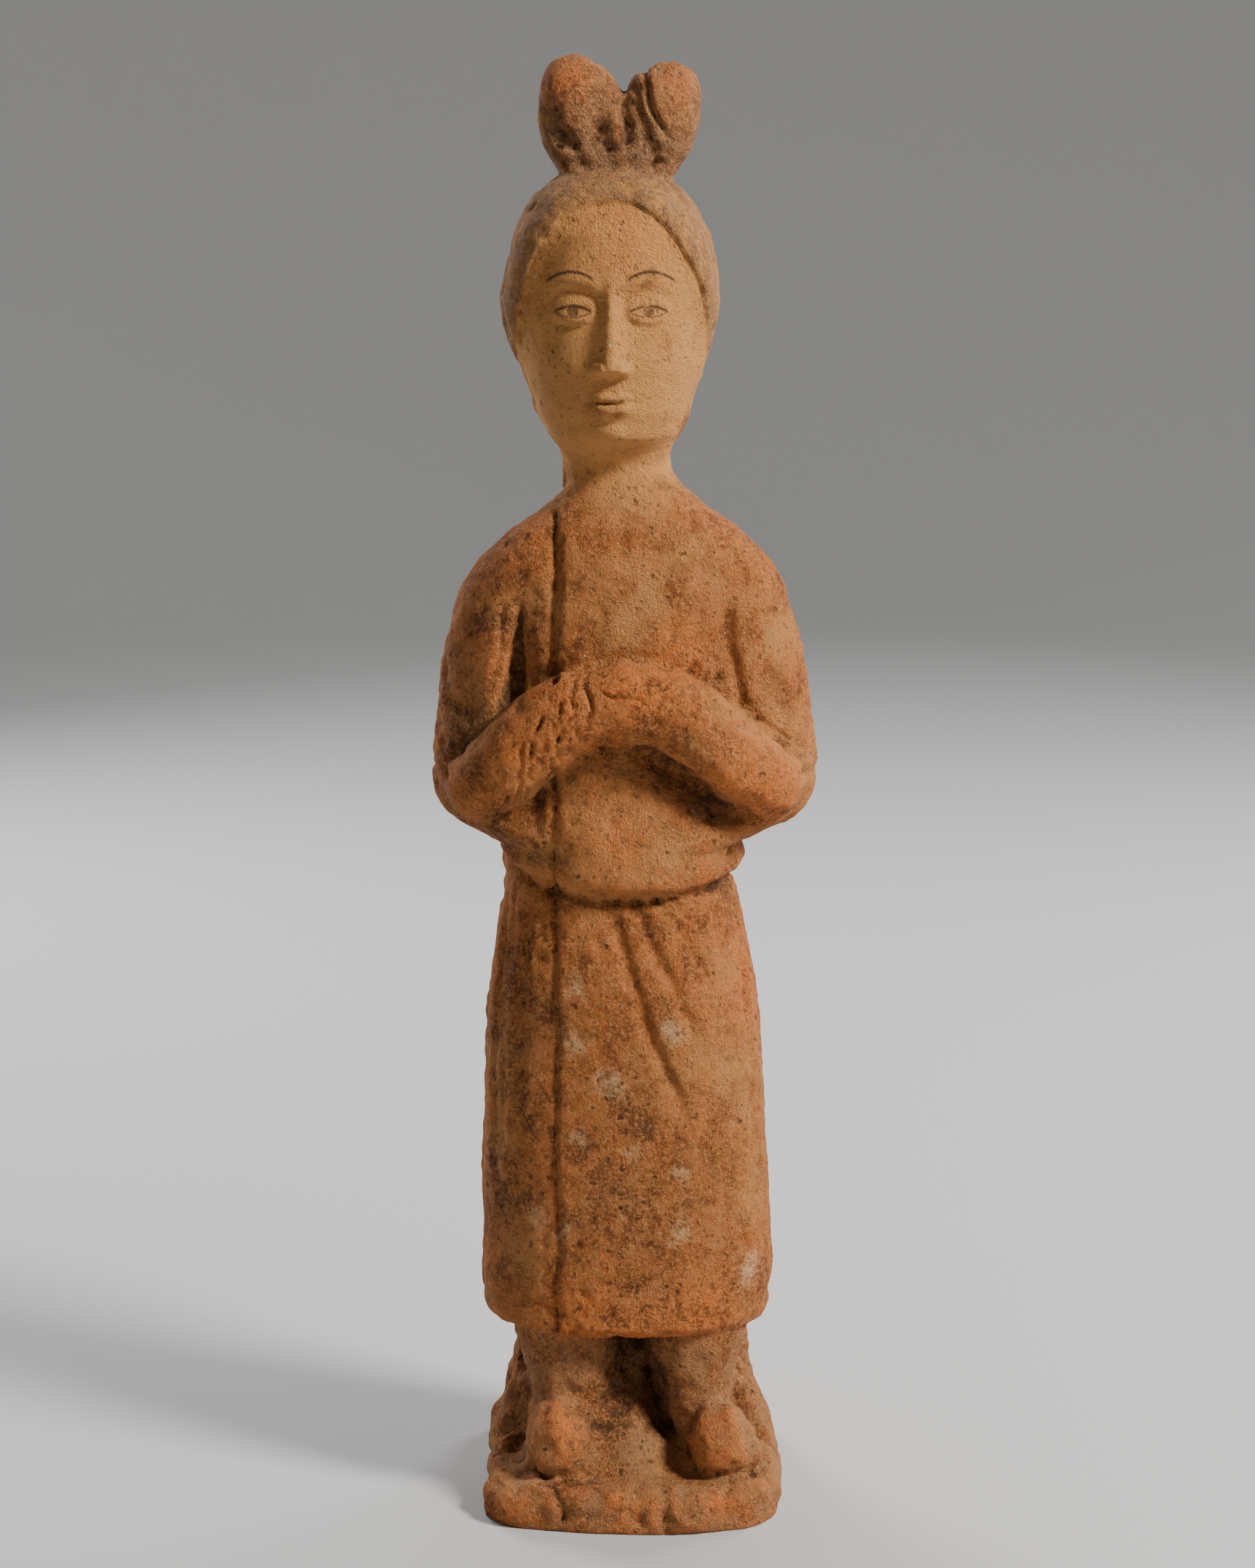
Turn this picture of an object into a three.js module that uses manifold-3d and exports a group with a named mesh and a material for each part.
// A moulded terracotta attendant: a standing figure with a double topknot, hands clasped
// in its sleeves, a bloused robe over a long skirt, and feet on a small slab.
// Millimetres, +Z up, front towards -Y, origin under the middle of the figure on its flat foot.
import * as THREE from "three";
import { mergeVertices } from "three/addons/utils/BufferGeometryUtils.js";
import Module from "manifold-3d";

const wasm = await Module();
wasm.setup();

// Driving dimensions
const HEIGHT = 270; // slab, figure and topknot
const SLAB_WIDTH = 57;
const SLAB_DEPTH = 58;
const SLAB_THICKNESS = 8;
const HEM_HEIGHT = 35; // underside of the skirt above the ground
const WAIST_HEIGHT = 118; // where the blouse tucks over the belt
const NECK_HEIGHT = 193; // where the neck leaves the shoulders
const CHIN_HEIGHT = 200.5;
const CROWN_HEIGHT = 250;
const HEM_WIDTH = 55.6;
const WAIST_WIDTH = 40;
const CHEST_WIDTH = 40.5; // between the grooves that part the arms from it
const ELBOW_WIDTH = 70.6; // over both elbows, where the figure is widest
const SLEEVE_THICKNESS = 15.5;
const HEAD_WIDTH = 36.4;
const HEAD_DEPTH = 38;
const NECK_WIDTH = 19.6;
const TOPKNOT_WIDTH = 28.8;
const FOOT_WIDTH = 12.4;
const FOOT_LENGTH = 25;

// Shares of the height, for what follows the figure's own proportions
const share = (part) => part * HEIGHT;
const BODY_LEAN_X = share(-0.002);
const HEAD_LEAN_X = share(-0.0096); // the head stands a little to its right
const FOOT_X = share(0.0044); // and the feet a little to its left
const TERRACOTTA = 0xb5703c;

const smooth = THREE.MathUtils.smoothstep;
const bump = (distance, width) => Math.exp(-((distance / width) ** 2));

// A smooth curve through stations [height, size, size, ...]: returns the sizes at a height.
function through(stations) {
  const slope = (i, k) => {
    const a = stations[Math.max(i - 1, 0)];
    const b = stations[Math.min(i + 1, stations.length - 1)];
    return (b[k] - a[k]) / (b[0] - a[0]);
  };
  return (height) => {
    const last = stations.length - 2;
    let i = stations.findIndex((s) => s[0] > height) - 1;
    if (i < 0) i = height <= stations[0][0] ? 0 : last;
    const [a, b] = [stations[i], stations[i + 1]];
    const span = b[0] - a[0];
    const t = THREE.MathUtils.clamp((height - a[0]) / span, 0, 1);
    return a.slice(1).map((value, n) => {
      const k = n + 1;
      const rise = b[k] - value;
      const start = slope(i, k) * span;
      const end = slope(i + 1, k) * span;
      return value + t * (start + t * (3 * rise - 2 * start - end + t * (start + end - 2 * rise)));
    });
  };
}

// Heights from low to high: steps() spaces them evenly between each pair of marks.
function steps(...marks) {
  const heights = [marks[0]];
  for (let i = 1; i < marks.length; i += 2) {
    const [count, to] = [marks[i], marks[i + 1]];
    const from = heights[heights.length - 1];
    for (let k = 1; k <= count; k++) heights.push(from + ((to - from) * k) / count);
  }
  return heights;
}

// Angles round a section, closer together over the front half, where the carving is, and
// closer still towards its middle as focus grows past 0.
function turns(frontCount, backCount, focus = 0) {
  const back = Array.from({ length: backCount }, (_, i) => (Math.PI * i) / backCount);
  const front = Array.from({ length: frontCount }, (_, i) => {
    const t = i / frontCount;
    return Math.PI * (1 + t + (focus * Math.sin(2 * Math.PI * t)) / (2 * Math.PI));
  });
  return [...back, ...front];
}

// A closed surface through rings of points from low to high, with a fan at each end. Each
// four-sided patch is split along its shorter diagonal.
function skin(rings) {
  const columns = rings[0].length;
  const points = rings.flat();
  const middle = (ring) =>
    ring.reduce((sum, p) => sum.add(p), new THREE.Vector3()).divideScalar(columns);
  const low = points.push(middle(rings[0])) - 1;
  const high = points.push(middle(rings[rings.length - 1])) - 1;
  const faces = [];
  const at = (row, column) => row * columns + (column % columns);
  for (let c = 0; c < columns; c++) {
    faces.push(low, at(0, c + 1), at(0, c));
    for (let r = 0; r < rings.length - 1; r++) {
      const [a, b, d, e] = [at(r, c), at(r, c + 1), at(r + 1, c), at(r + 1, c + 1)];
      const rising = points[a].distanceTo(points[e]) <= points[b].distanceTo(points[d]);
      faces.push(...(rising ? [a, b, e, a, e, d] : [a, b, d, b, e, d]));
    }
    faces.push(high, at(rings.length - 1, c), at(rings.length - 1, c + 1));
  }
  return new THREE.BufferGeometry().setFromPoints(points).setIndex(faces);
}

// One horizontal section: an oval of its own half width, front depth and back depth,
// squarer as power grows past 2.
function oval(angle, { x, y, z, half, front, back, power = 2 }) {
  const round = (value) => Math.sign(value) * Math.abs(value) ** (2 / power);
  const [across, along] = [round(Math.cos(angle)), round(Math.sin(angle))];
  return new THREE.Vector3(x + half * across, y + along * (along < 0 ? front : back), z);
}

// A loft of ovals. sectionAt(z) gives each one; relief(point) is how far the clay stands out
// from its middle there, ahead(point) how far it stands forward and lift(point) how far up.
function loft(heights, angles, sectionAt, relief = () => 0, ahead = () => 0, lift = () => 0) {
  return skin(
    heights.map((z) => {
      const section = { z, ...sectionAt(z) };
      return angles.map((angle) => {
        const point = oval(angle, section);
        const out = new THREE.Vector3(point.x - section.x, point.y - section.y, 0).normalize();
        point.addScaledVector(out, relief(point, section));
        point.y -= ahead(point, section);
        point.z += lift(point, section);
        return point;
      });
    }),
  );
}

// A tube of oval sections along a smooth curve. sizeAt(t) gives the two half sizes: upright,
// and level.
function tube(curve, rowCount, columnCount, sizeAt, relief = () => 0) {
  const rings = [];
  for (let r = 0; r <= rowCount; r++) {
    const t = r / rowCount;
    const along = curve.getTangentAt(t);
    const level = new THREE.Vector3(along.y, -along.x, 0).normalize();
    const upright = new THREE.Vector3().crossVectors(along, level).normalize();
    const centre = curve.getPointAt(t);
    const [tall, deep] = sizeAt(t);
    rings.push(
      Array.from({ length: columnCount }, (_, c) => {
        const angle = (2 * Math.PI * c) / columnCount;
        const out = new THREE.Vector3()
          .addScaledVector(level, deep * Math.cos(angle))
          .addScaledVector(upright, tall * Math.sin(angle));
        const point = centre.clone().add(out);
        return point.addScaledVector(out.normalize(), relief(point));
      }),
    );
  }
  return skin(rings);
}

// A line drawn on the front through points [x, z]: how much of a stroke of that width a spot
// holds, 1 on the line and fading at its sides and its two ends.
function stroke(points, width) {
  const spots = points.map(([x, z]) => new THREE.Vector2(x, z));
  return (x, z) => {
    let best = 0;
    for (let i = 0; i < spots.length - 1; i++) {
      const span = spots[i + 1].clone().sub(spots[i]);
      const from = new THREE.Vector2(x, z).sub(spots[i]);
      const t = THREE.MathUtils.clamp(from.dot(span) / span.lengthSq(), 0, 1);
      best = Math.max(best, bump(from.sub(span.multiplyScalar(t)).length(), width));
    }
    return best;
  };
}

function solid(geometry) {
  const bare = new THREE.BufferGeometry()
    .setAttribute("position", geometry.getAttribute("position"))
    .setIndex(geometry.index);
  const merged = mergeVertices(bare, 1e-4);
  return new wasm.Manifold(
    new wasm.Mesh({
      numProp: 3,
      vertProperties: merged.attributes.position.array,
      triVerts: new Uint32Array(merged.index.array),
    }),
  );
}

// Robe and skirt: the long front edge of the robe runs down the figure's right side
const EDGE_X = share(-0.0475);
const EDGE_DEPTH = share(0.0042);
const EDGE_WIDTH = share(0.0045);
const FOLD_DEPTH = share(0.005);
const FOLD_WIDTH = share(0.0072);
const FAN_SPREAD = 1.35; // the folds under the belt are wider and shallower than the others
const robeEdge = (x, spread = 1) => EDGE_DEPTH * bump(x - EDGE_X, EDGE_WIDTH * spread);

// Folds that fan out of the belt, from a place below its middle, points [x, z] in shares
const waist = WAIST_HEIGHT / HEIGHT;
const fanFolds = [
  [[-0.008, waist - 0.008], [0.003, waist - 0.05], [0.021, waist - 0.097], [0.038, waist - 0.14]],
  [[0.006, waist - 0.008], [0.016, waist - 0.03], [0.035, waist - 0.062]],
  [[0.014, waist - 0.004], [0.034, waist - 0.022], [0.053, waist - 0.046]],
  [[-0.066, waist - 0.02], [-0.072, waist - 0.055], [-0.076, waist - 0.11]],
].map((fold) => stroke(fold.map((spot) => spot.map(share)), FOLD_WIDTH * FAN_SPREAD));

const BACK_FOLDS_X = [-0.045, 0.004, 0.05].map(share);
const BACK_FOLD_WIDTH = share(0.013);

function skirt() {
  const top = WAIST_HEIGHT + share(0.02);
  const half = HEM_WIDTH / 2;
  const tuck = WAIST_WIDTH / 2;
  const rise = (t) => THREE.MathUtils.lerp(HEM_HEIGHT, WAIST_HEIGHT, t);
  const sizes = through([
    [HEM_HEIGHT, share(0.004), half * 0.965, share(0.074), share(0.07)],
    [rise(0.03), share(0.004), half, share(0.0775), share(0.0735)],
    [rise(0.18), share(0.0032), half * 0.995, share(0.077), share(0.073)],
    [rise(0.5), share(0.001), half * 0.955, share(0.075), share(0.071)],
    [rise(0.72), 0, half * 0.915, share(0.0735), share(0.069)],
    [rise(0.88), share(-0.0008), half * 0.85, share(0.07), share(0.0655)],
    [rise(0.97), share(-0.002), tuck * 1.105, share(0.0645), share(0.062)],
    [top, share(-0.003), tuck * 1.02, share(0.058), share(0.057)],
  ]);
  const section = (z) => {
    const [aside, halfWidth, front, back] = sizes(z);
    return { x: BODY_LEAN_X + aside, y: 0, half: halfWidth, front, back, power: 2.35 };
  };
  const relief = ({ x, y, z }) => {
    if (y > 0) {
      const fade = 1 - smooth(z, rise(0.2), rise(0.7)) * 0.6;
      return -FOLD_DEPTH * 0.5 * fade * Math.max(...BACK_FOLDS_X.map((f) => bump(x - f, BACK_FOLD_WIDTH)));
    }
    const hem = smooth(z, HEM_HEIGHT, rise(0.06));
    const folds = Math.max(...fanFolds.map((fold) => fold(x, z)));
    return (-FOLD_DEPTH * folds) / FAN_SPREAD - robeEdge(x) * hem;
  };
  const heights = steps(HEM_HEIGHT, 2, rise(0.05), 6, rise(0.52), 10, rise(1), 1, top);
  return loft(heights, turns(34, 10, 0.35), section, relief);
}

// The blouse hangs over the belt. Above it one loft takes in the elbows, the upper arms and
// the shoulders, and grooves part the arms from the chest and the back.
const ELBOW_HEIGHT = share(0.51);
const ARM_GROOVE_DEPTH = share(0.013);
const ARM_GROOVE_WIDTH = share(0.0105);
const TUCK_RISE = share(0.0115); // the blouse's lower edge is higher at the sides than in front
const CHEST_SPREAD = 1.5; // the chest's grooves are softer and wider than the skirt's
const CHEST_FOLDS = [
  [[-0.063, 0.645], [-0.061, 0.61], [-0.056, 0.575]],
  [[0.056, 0.62], [0.053, 0.6], [0.051, 0.585]],
].map((fold) => stroke(fold.map((spot) => spot.map(share)), FOLD_WIDTH * CHEST_SPREAD));

function torso() {
  const elbow = ELBOW_WIDTH / 2;
  const tuck = WAIST_WIDTH / 2;
  const neck = NECK_WIDTH / 2;
  const under = ELBOW_HEIGHT - SLEEVE_THICKNESS * 0.8;
  const below = (t) => THREE.MathUtils.lerp(WAIST_HEIGHT, under, t);
  const bend = (t) => THREE.MathUtils.lerp(under, ELBOW_HEIGHT, t);
  const shoulder = (t) => THREE.MathUtils.lerp(ELBOW_HEIGHT, NECK_HEIGHT, t);
  const sizes = through([
    [below(0), tuck * 0.97, share(0.061), share(0.057)],
    [below(0.2), tuck * 1.06, share(0.0675), share(0.063)],
    [below(0.5), tuck * 1.105, share(0.0715), share(0.0665)],
    [below(0.9), tuck * 1.115, share(0.0725), share(0.068)],
    [bend(0.1), elbow * 0.637, share(0.0722), share(0.0678)],
    [bend(0.26), elbow * 0.74, share(0.0718), share(0.0673)],
    [bend(0.45), elbow * 0.885, share(0.071), share(0.067)],
    [bend(0.7), elbow * 0.972, share(0.0697), share(0.066)],
    [bend(1), elbow, share(0.068), share(0.0645)],
    [shoulder(0.23), elbow * 0.98, share(0.064), share(0.063)],
    [shoulder(0.45), elbow * 0.935, share(0.061), share(0.061)],
    [shoulder(0.6), elbow * 0.88, share(0.058), share(0.0595)],
    [shoulder(0.7), elbow * 0.812, share(0.0545), share(0.057)],
    [shoulder(0.79), elbow * 0.7, share(0.05), share(0.054)],
    [shoulder(0.87), elbow * 0.565, share(0.0445), share(0.0495)],
    [shoulder(0.935), elbow * 0.405, share(0.0385), share(0.0455)],
    [shoulder(1.0), neck * 1.06, share(0.0325), share(0.0405)],
    [shoulder(1.05), neck * 0.9, share(0.028), share(0.036)],
  ]);
  const section = (z) => {
    const [half, front, back] = sizes(z);
    const raised = smooth(z, shoulder(0.6), shoulder(0.85)) * (1 - smooth(z, shoulder(0.93), shoulder(1.05)));
    return { x: BODY_LEAN_X + share(0.002) * raised, y: 0, half, front, back, power: 2.2 };
  };
  const relief = ({ x, y, z }) => {
    const side = x < BODY_LEAN_X ? 1 : 0.75; // the groove is deeper at the figure's right arm
    const inside = CHEST_WIDTH / 2 - share(0.009) * (1 - smooth(z, bend(1), shoulder(0.5)));
    const parted = smooth(z, bend(0.2), bend(0.9)) * (1 - smooth(z, shoulder(0.45), shoulder(0.78)));
    const beside = bump(Math.abs(x - BODY_LEAN_X) - inside, ARM_GROOVE_WIDTH);
    const groove = -ARM_GROOVE_DEPTH * side * parted * beside;
    if (y > 0) return groove * 0.6;
    const lower = 1 - smooth(z, shoulder(0.85), shoulder(0.97));
    const folds = Math.max(...CHEST_FOLDS.map((fold) => fold(x, z)));
    return groove - robeEdge(x, CHEST_SPREAD) * lower - FOLD_DEPTH * folds;
  };
  const lift = ({ x, z }) => {
    const out = (x - BODY_LEAN_X) / tuck;
    return TUCK_RISE * (out < 0 ? 1.35 : 0.65) * out ** 2 * (1 - smooth(z, below(0), bend(0.15)));
  };
  const heights = steps(below(0), 4, bend(0.1), 5, bend(1), 7, shoulder(0.6), 7, shoulder(1.05));
  return loft(heights, turns(32, 12), section, relief, () => 0, lift);
}

// The two forearms meet in front in one arch of sleeve
const ARCH_RISE = share(0.064);
const ARCH_REACH = share(0.067); // from the body's middle out to the middle of the sleeve
const cuff = stroke(
  [[-0.024, 0.61], [-0.014, 0.585], [-0.01, 0.555]].map((spot) => spot.map(share)),
  FOLD_WIDTH,
);

function forearms() {
  const elbow = (ELBOW_WIDTH - SLEEVE_THICKNESS) / 2;
  const half = SLEEVE_THICKNESS / 2;
  // from the wrists in the middle down to the elbow: shares across, of the reach, of the rise
  const limb = [
    [0, 1, 1],
    [0.3, 0.98, 0.92],
    [0.55, 0.92, 0.64],
    [0.77, 0.8, 0.29],
    [0.94, 0.54, 0.05],
    [1.02, 0.12, 0.02],
  ];
  const place = (side, [across, reach, rise]) =>
    new THREE.Vector3(
      BODY_LEAN_X + side * across * elbow,
      -reach * ARCH_REACH,
      ELBOW_HEIGHT + rise * ARCH_RISE,
    );
  const right = limb.slice(1).reverse().map((spot) => place(-1, spot));
  const left = limb.map((spot) => place(1, spot));
  const route = new THREE.CatmullRomCurve3([...right, ...left], false, "centripetal");
  const size = (t) => {
    const end = Math.sqrt(Math.max(1 - (2 * t - 1) ** 12, 0.2));
    return [half * end, half * end * 0.95];
  };
  const relief = ({ x, y, z }) => (y < share(-0.05) ? -FOLD_DEPTH * 0.7 * cuff(x, z) : 0);
  return tube(route, 20, 12, size, relief);
}

// Head and neck in one loft. Heights on the face are shares of the head, from chin to crown
const HEAD = CROWN_HEIGHT - CHIN_HEIGHT;
const onHead = (t) => CHIN_HEIGHT + t * HEAD;
const EYE_LINE = onHead(0.5);
const NOSE_BASE = onHead(0.26);
const MOUTH_LINE = onHead(0.165);
const EYE_WIDTH = HEAD_WIDTH / 5.4; // five eyes across a face, less the hair at each side
const HAIR = share(0.0048); // how far the hair stands off the brow
const FACE_MIDDLE = onHead(0.36);
const FACE_HALF_WIDTH = HEAD_WIDTH * 0.44;
const FACE_HALF_HEIGHT = HEAD * 0.52;

// How far the face stands forward at a spot, x being measured from its middle.
function faceRelief(x, z) {
  const side = Math.abs(x);
  const eye = EYE_WIDTH;
  const dome = (dx, dz, wide, tall) => Math.sqrt(Math.max(1 - (dx / wide) ** 2 - (dz / tall) ** 2, 0));
  const soft = (dx, dz, wide, tall) => bump(dx, wide) * bump(dz, tall);
  const browLine = EYE_LINE + eye * 0.75;
  const brow = 0.016 * HEAD * soft(side - eye * 0.95, z - browLine, eye * 0.75, eye * 0.3);
  const socket = -0.03 * HEAD * soft(side - eye * 0.9, z - EYE_LINE - eye * 0.1, eye * 0.75, eye * 0.55);
  const lid = 0.03 * HEAD * dome(side - eye, z - EYE_LINE, eye * 0.58, eye * 0.36);
  const along = THREE.MathUtils.clamp((browLine - z) / (browLine - NOSE_BASE), 0, 1);
  const under = smooth(z, NOSE_BASE - eye * 0.18, NOSE_BASE + eye * 0.22);
  const bridge = HEAD * (0.014 + 0.074 * along) * bump(side, eye * (0.24 + 0.17 * along));
  const nose = bridge * under * (1 - smooth(z, browLine - eye * 0.3, browLine + eye * 0.5));
  const wing = 0.026 * HEAD * dome(side - eye * 0.36, z - NOSE_BASE - eye * 0.24, eye * 0.27, eye * 0.28);
  const cheek = 0.012 * HEAD * soft(side - eye * 1.3, z - onHead(0.31), eye * 0.75, eye * 0.8);
  const lip = (dz, wide) => soft(side, z - MOUTH_LINE - dz, wide, eye * 0.17);
  const lips = 0.026 * HEAD * (lip(eye * 0.2, eye * 0.52) + lip(eye * -0.22, eye * 0.42));
  const mouth = 0.012 * HEAD * soft(side, z - MOUTH_LINE, eye * 0.7, eye * 0.7);
  const chin = 0.02 * HEAD * soft(side, z - onHead(0.05), eye * 0.7, eye * 0.5);
  return brow + socket + lid + nose + wing + cheek + lips + mouth + chin;
}

function head() {
  const half = HEAD_WIDTH / 2 - HAIR * 0.5;
  const deep = HEAD_DEPTH / 2 - HAIR * 0.5;
  const neck = NECK_WIDTH / 2;
  const root = NECK_HEIGHT - share(0.03);
  const sizes = through([
    [root, 0, share(0.006), neck * 1.08, neck * 0.88, neck * 1.02],
    [NECK_HEIGHT + share(0.006), 0.35, share(0.006), neck, neck * 0.86, neck * 0.98],
    [onHead(-0.03), 0.6, share(0.004), neck * 1.01, neck * 1.06, neck],
    [onHead(0.035), 0.7, share(0.002), half * 0.68, deep * 0.8, deep * 0.62],
    [onHead(0.13), 0.8, 0, half * 0.79, deep * 0.92, deep * 0.72],
    [onHead(0.3), 0.95, 0, half * 0.925, deep * 0.955, deep * 0.86],
    [onHead(0.46), 1, 0, half * 0.99, deep * 0.965, deep * 0.955],
    [onHead(0.6), 1, 0, half, deep * 0.985, deep],
    [onHead(0.76), 1, 0, half * 0.94, deep * 0.93, deep * 0.955],
    [onHead(0.88), 1, 0, half * 0.775, deep * 0.76, deep * 0.8],
    [onHead(0.96), 0.95, 0, half * 0.53, deep * 0.5, deep * 0.55],
    [onHead(1.02), 0.9, 0, half * 0.22, deep * 0.2, deep * 0.22],
  ]);
  const section = (z) => {
    const [lean, y, across, front, back] = sizes(z);
    return { x: BODY_LEAN_X + lean * (HEAD_LEAN_X - BODY_LEAN_X), y, half: across, front, back, power: 2.1 };
  };
  const hairAt = (x, z) => {
    const spread = Math.hypot(x / FACE_HALF_WIDTH, (z - FACE_MIDDLE) / FACE_HALF_HEIGHT);
    const temple = z > FACE_MIDDLE ? 1 : smooth(Math.abs(x) / FACE_HALF_WIDTH, 0.6, 0.9);
    return smooth(spread, 0.94, 1.12) * temple;
  };
  const relief = (point, { x: middle }) => {
    const cover = point.y > 0 ? 1 : hairAt(point.x - middle, point.z);
    return HAIR * cover * smooth(point.z, onHead(-0.02), onHead(0.3));
  };
  const ahead = (point, { x: middle }) => {
    const x = point.x - middle;
    return point.y > 0 ? 0 : faceRelief(x, point.z) * (1 - hairAt(x, point.z));
  };
  const brow = onHead(0.64);
  const heights = steps(root, 2, onHead(-0.06), 6, onHead(0.13), 16, brow, 4, onHead(0.86), 4, onHead(1.02));
  return loft(heights, turns(28, 10, 0.45), section, relief, ahead);
}

// Topknot: two plump loops of hair that part upwards, with a web between them
const KNOT_X = share(-0.0045);
const KNOT_DEPTH = share(0.0235); // half, through each loop
const KNOT_ROOT = CROWN_HEIGHT - share(0.015);

function loop(side) {
  const wide = TOPKNOT_WIDTH / 2;
  const top = HEIGHT - (side > 0 ? share(0.0045) : 0); // the figure's left loop is the lower
  const at = (t) => THREE.MathUtils.lerp(KNOT_ROOT, top, t);
  const sizes = through([
    [at(0), 0.25, 0.4, 0.86],
    [at(0.15), 0.32, 0.44, 0.88],
    [at(0.3), 0.4, 0.53, 0.95],
    [at(0.5), 0.45, 0.55, 1.0],
    [at(0.68), 0.475, 0.525, 0.98],
    [at(0.82), 0.515, 0.455, 0.86],
    [at(0.92), 0.55, 0.33, 0.66],
    [at(0.985), 0.58, 0.15, 0.34],
    [at(1), 0.59, 0.05, 0.12],
  ]);
  const section = (z) => {
    const [out, half, deep] = sizes(z);
    const thick = KNOT_DEPTH * deep;
    const tilt = side > 0 ? 0.085 * smooth(z, at(0.1), at(0.95)) - 0.03 : 0;
    const x = KNOT_X + (side * out + tilt) * wide;
    return { x, y: 0, half: half * wide, front: thick, back: thick, power: 2.2 };
  };
  const coil = [[0.17, 0.78], [0.2, 0.6], [0.29, 0.4], [0.46, 0.2]];
  const inner = stroke(coil.map(([out, t]) => [KNOT_X + side * out * wide, at(t)]), wide * 0.1);
  const relief = ({ x, z }) => -share(0.0035) * inner(x, z);
  const heights = [0, 0.1, 0.2, 0.31, 0.43, 0.55, 0.67, 0.78, 0.87, 0.94, 0.985, 1].map(at);
  return loft(heights, turns(12, 6, 0.2), section, relief);
}

function web() {
  const half = TOPKNOT_WIDTH * 0.25;
  const at = (t) => THREE.MathUtils.lerp(KNOT_ROOT, HEIGHT, t);
  const sizes = through([
    [at(0), half, KNOT_DEPTH * 0.95],
    [at(0.4), half, KNOT_DEPTH * 0.92],
    [at(0.66), half * 0.95, KNOT_DEPTH * 0.78],
    [at(0.74), half * 0.7, KNOT_DEPTH * 0.5],
  ]);
  const section = (z) => {
    const [across, deep] = sizes(z);
    return { x: KNOT_X, y: 0, half: across, front: deep, back: deep, power: 2.4 };
  };
  return loft(steps(at(0), 4, at(0.74)), turns(6, 6), section);
}

// Legs in trousers, feet, and the slab with the clay bank that joins them
const STANCE = SLAB_WIDTH * 0.53; // between the middles of the feet
const TOE_GAP = 8; // from the toes to the slab's front edge

function leg(side) {
  const foot = STANCE / 2;
  const top = HEM_HEIGHT + share(0.02);
  const low = SLAB_THICKNESS - share(0.012);
  const rise = (t) => THREE.MathUtils.lerp(low, top, t);
  const sizes = through([
    [rise(0), foot * 0.84, FOOT_WIDTH * 0.58, share(0.053)],
    [rise(0.33), foot * 0.78, FOOT_WIDTH * 0.64, share(0.056)],
    [rise(0.5), foot * 0.76, FOOT_WIDTH * 0.7, share(0.059)],
    [rise(0.7), foot * 0.79, FOOT_WIDTH * 0.8, share(0.062)],
    [rise(1), foot * 0.815, FOOT_WIDTH * 0.86, share(0.065)],
  ]);
  const section = (z) => {
    const [out, half, front] = sizes(z);
    return { x: FOOT_X + side * out, y: 0, half, front, back: share(0.05), power: 2.7 };
  };
  return loft(steps(rise(0), 7, rise(1)), turns(12, 4), section);
}

// The toe cap is a rounded ball in front of the trouser leg
function shoe(side) {
  const low = SLAB_THICKNESS - share(0.01);
  const tall = share(side < 0 ? 0.064 : 0.055); // the figure's right foot is raised a little more
  const middle = -SLAB_DEPTH / 2 + TOE_GAP + FOOT_LENGTH / 2;
  const section = (z) => {
    const round = Math.sqrt(Math.max(1 - ((z - low) / tall) ** 2.6, 0.015));
    const half = (FOOT_WIDTH / 2) * (0.12 + 0.9 * round);
    const length = (FOOT_LENGTH / 2) * (0.2 + 0.8 * round);
    return { x: FOOT_X + (side * STANCE) / 2, y: middle, half, front: length, back: length, power: 2.2 };
  };
  const heights = [0, 0.3, 0.55, 0.74, 0.87, 0.95, 1].map((t) => low + t * tall);
  return loft(heights, turns(12, 4), section);
}

// Clay heaped behind and beside the feet, sloping down to a floor between the toes. A hollow
// follows the inner side of the figure's left leg
const hollow = stroke(
  [[0.008, 0.12], [0.012, 0.08], [0.024, 0.045]].map((spot) => spot.map(share)),
  share(0.013),
);

function bank() {
  const low = SLAB_THICKNESS - share(0.012);
  const top = HEM_HEIGHT + share(0.01);
  const rise = (t) => THREE.MathUtils.lerp(low, top, t);
  const half = SLAB_WIDTH / 2;
  const sizes = through([
    [rise(0), half * 0.95, share(0.118), share(0.062)],
    [rise(0.14), half * 0.92, share(0.106), share(0.056)],
    [rise(0.4), half * 0.86, share(0.076), share(0.045)],
    [rise(0.7), half * 0.8, share(0.05), share(0.038)],
    [rise(1), half * 0.79, share(0.038), share(0.035)],
  ]);
  const section = (z) => {
    const [across, front, back] = sizes(z);
    return { x: FOOT_X, y: share(0.03), half: across, front, back, power: 2.6 };
  };
  const relief = ({ x, y, z }) => (y < 0 ? -share(0.017) * hollow(x - FOOT_X, z) : 0);
  return loft(steps(rise(0), 7, rise(1)), turns(18, 6), section, relief);
}

const CRACKS = [-0.24, 0.33]; // across the slab's front, as shares of its width

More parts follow.
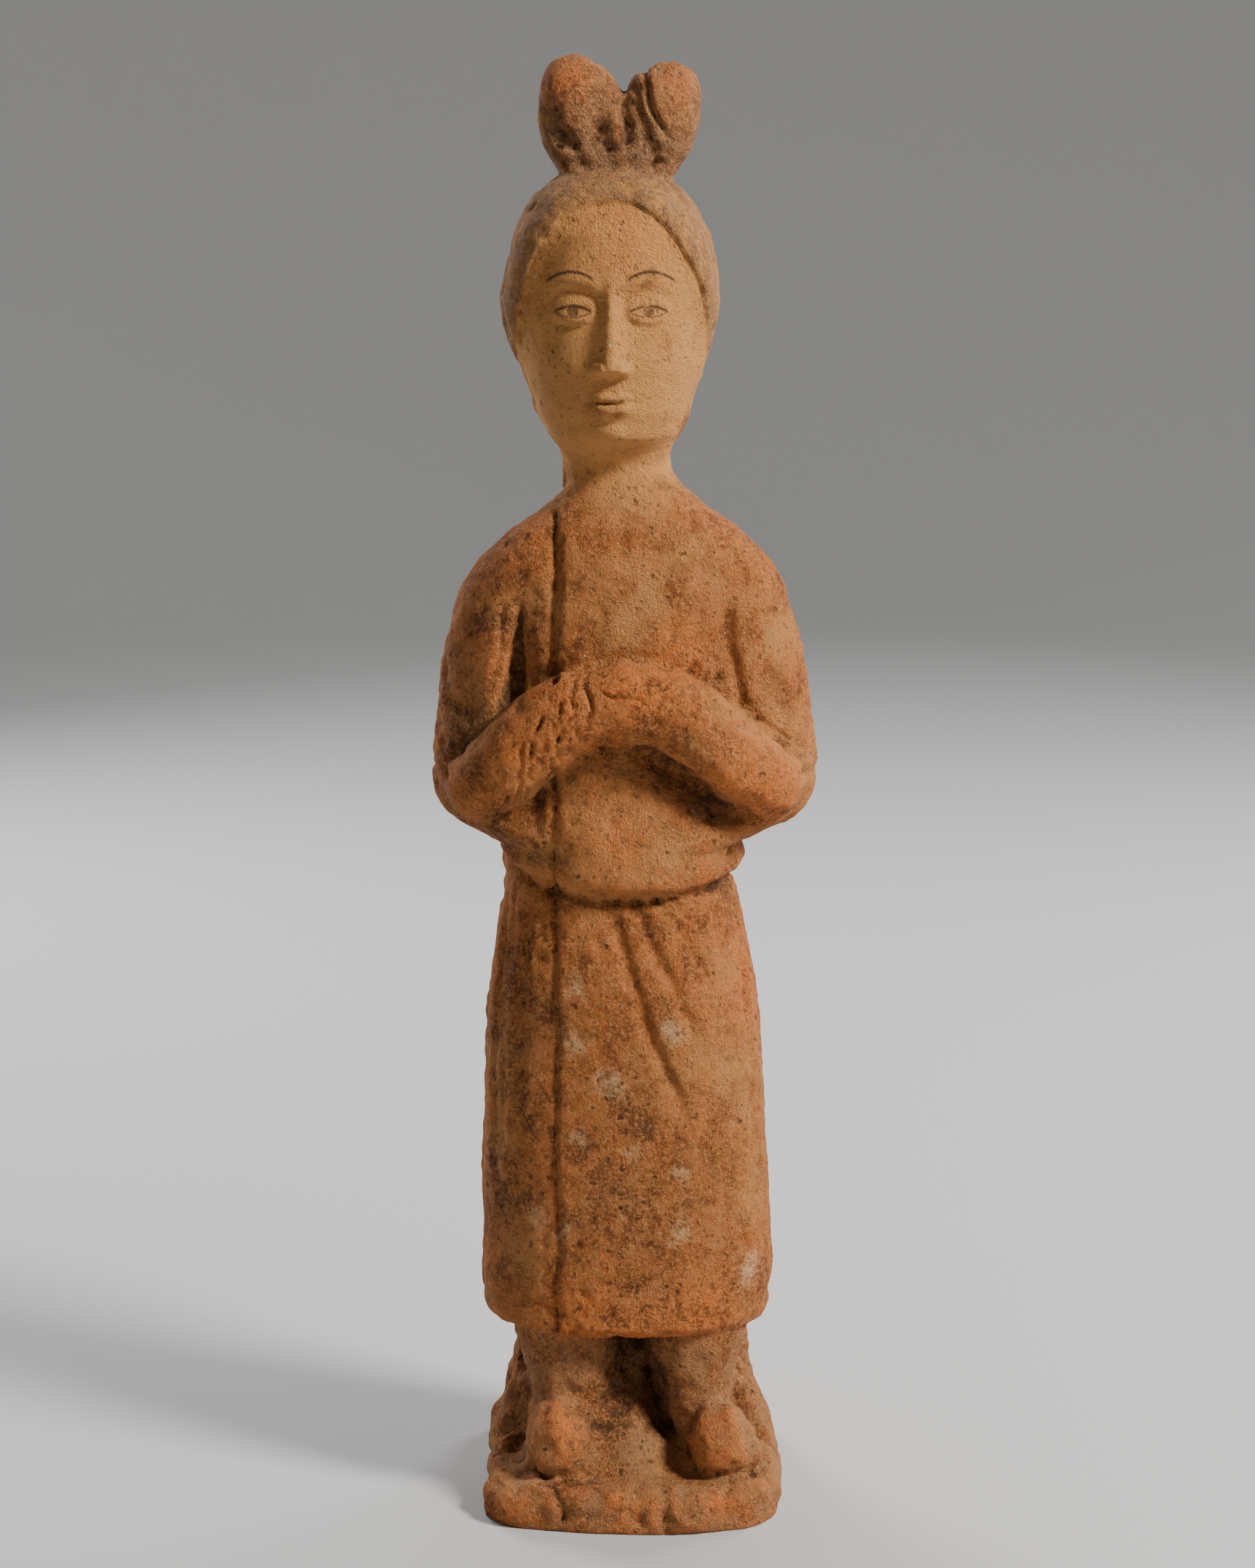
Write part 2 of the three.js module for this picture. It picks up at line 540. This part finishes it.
function slab() {
  const deep = SLAB_DEPTH / 2;
  const ring = through([
    [0, 0.985, -0.3],
    [1, 1.0, 0.3],
    [2, 0.985, 0.72],
    [3, 0.93, 0.97],
    [4, 0.82, 1.0],
    [5, 0.64, 1.04],
    [6, 0.42, 1.1],
    [7, 0.2, 1.14],
  ]);
  const angles = turns(28, 12);
  const rings = Array.from({ length: 8 }, (_, row) => {
    const [out, up] = ring(row);
    return angles.map((angle) => {
      const narrow = 1 - 0.05 * (Math.sin(angle) + 1); // a little narrower at the back
      const point = oval(angle, {
        x: FOOT_X,
        y: 0,
        z: up * SLAB_THICKNESS,
        half: (SLAB_WIDTH / 2) * out * narrow,
        front: deep * out,
        back: deep * out,
        power: 6,
      });
      const uneven = 1 + 0.013 * Math.sin(5 * angle + 1) + 0.01 * Math.sin(9 * angle + row);
      const nicks = CRACKS.map((c) => bump(point.x - c * SLAB_WIDTH, share(0.008)));
      const crack = point.y < 0 ? Math.max(...nicks) : 0;
      point.x *= uneven;
      point.y *= uneven - 0.02 * crack;
      point.z += share(0.002) * Math.sin(7 * angle + 2) * smooth(up, 0.5, 1) * smooth(out, 0.5, 0.9);
      return point;
    });
  });
  return skin(rings);
}

// Everything is one piece of clay, joined while soft, and ground flat underneath.
function figure() {
  const parts = [
    skirt(),
    torso(),
    forearms(),
    head(),
    loop(-1),
    loop(1),
    web(),
    leg(-1),
    leg(1),
    shoe(-1),
    shoe(1),
    bank(),
    slab(),
  ];
  const ground = new THREE.BoxGeometry(4 * SLAB_WIDTH, 4 * SLAB_DEPTH, HEIGHT);
  ground.translate(0, 0, -HEIGHT / 2);
  const clay = parts.map(solid).reduce((whole, next) => whole.add(next));
  return clay.subtract(solid(ground));
}

// The origin is put under the middle of the figure's box
function centred(clay) {
  const made = clay.getMesh();
  const points = [];
  for (let i = 0; i < made.numVert; i++) {
    const at = i * made.numProp;
    points.push(new THREE.Vector3(...made.vertProperties.subarray(at, at + 3)));
  }
  const box = new THREE.Box3().setFromPoints(points);
  const middle = box.getCenter(new THREE.Vector3()).setZ(0);
  points.forEach((p) => p.sub(middle));
  return new THREE.BufferGeometry().setFromPoints(points).setIndex([...made.triVerts]);
}

const statue = new THREE.Mesh(
  centred(figure()),
  new THREE.MeshStandardMaterial({ color: TERRACOTTA, roughness: 0.92, metalness: 0 }),
);
statue.name = "attendant_figure";
statue.geometry.computeVertexNormals();

const model = new THREE.Group();
model.add(statue);

export default model;
